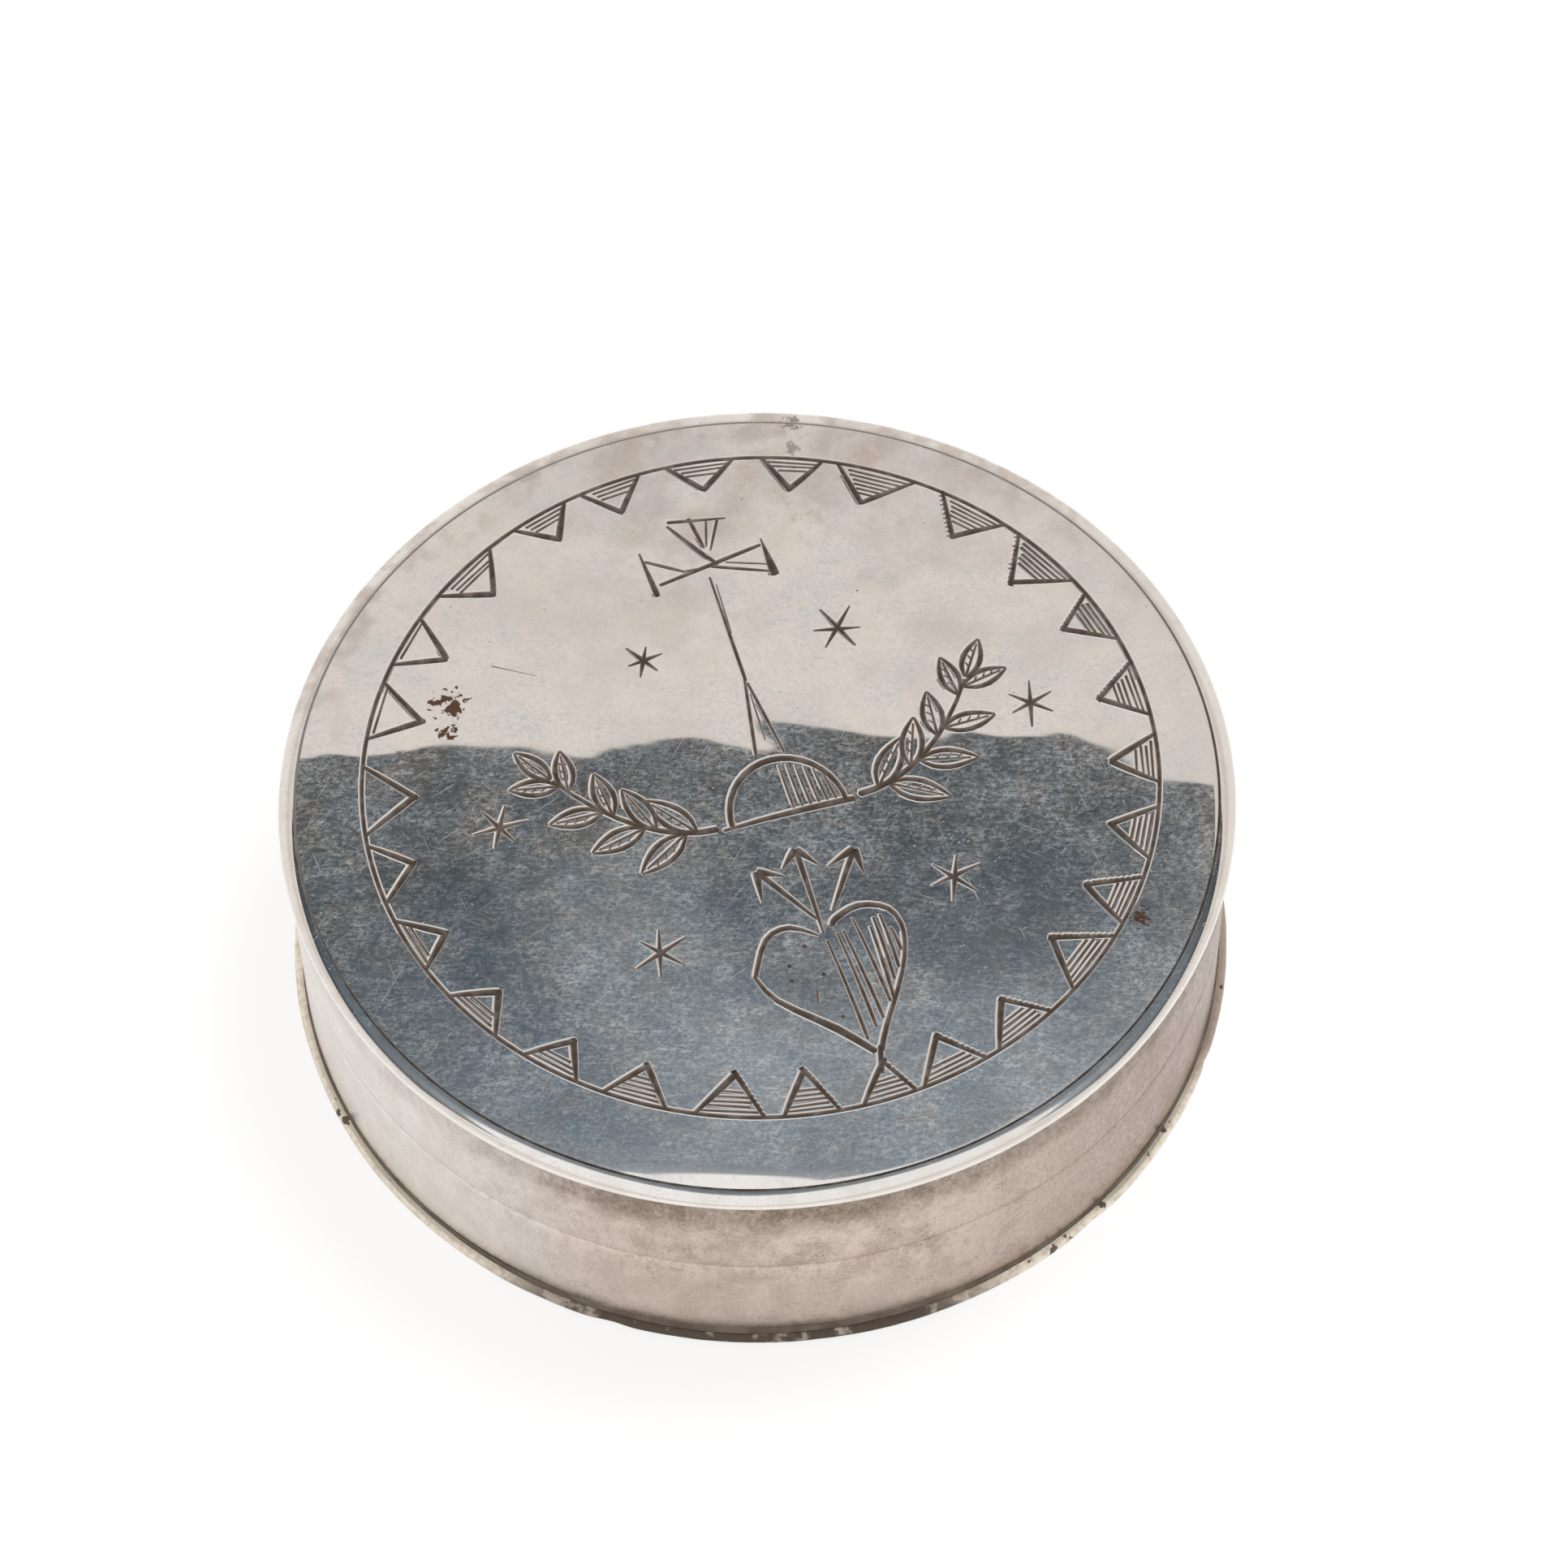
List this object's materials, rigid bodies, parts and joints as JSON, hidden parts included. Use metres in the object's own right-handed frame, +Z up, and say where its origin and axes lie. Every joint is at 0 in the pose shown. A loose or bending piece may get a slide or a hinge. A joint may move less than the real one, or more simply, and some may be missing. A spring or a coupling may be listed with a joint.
{
  "type": "pyx",
  "caption": "Round shallow silver box with a flanged base and an engraved pull-off lid that slips over an inner bezel, for carrying altar breads.",
  "frame": {"origin": "centre of the underside of the base plate", "axes": "+Z up along the axis of the box, towards the lid; +Y towards the top of the lid's design"},
  "size_m": [0.0608, 0.0608, 0.0169],
  "materials": {
    "lid_silver": "polished hand-engraved silver with scratches and light tarnish",
    "wall_silver": "worn silver with pinkish brown mottled tarnish",
    "base_silver": "worn silver sheet with a dented dull edge",
    "inner_silver": "dull unpolished silver",
    "solder": "rough grey-brown hard solder"
  },
  "bodies": {
    "base": {"base_plate": "base_silver", "base_wall": "wall_silver", "base_solder": "solder", "bezel": "inner_silver"},
    "lid": {"lid_plate": "lid_silver", "lid_skirt": "wall_silver", "lid_solder": "solder"}
  },
  "joints": [
    {"name": "lid_lift", "type": "slide", "parent": "base", "child": "lid", "axis": [0, 0, 1], "range_m": [0, 0.03]}
  ]
}
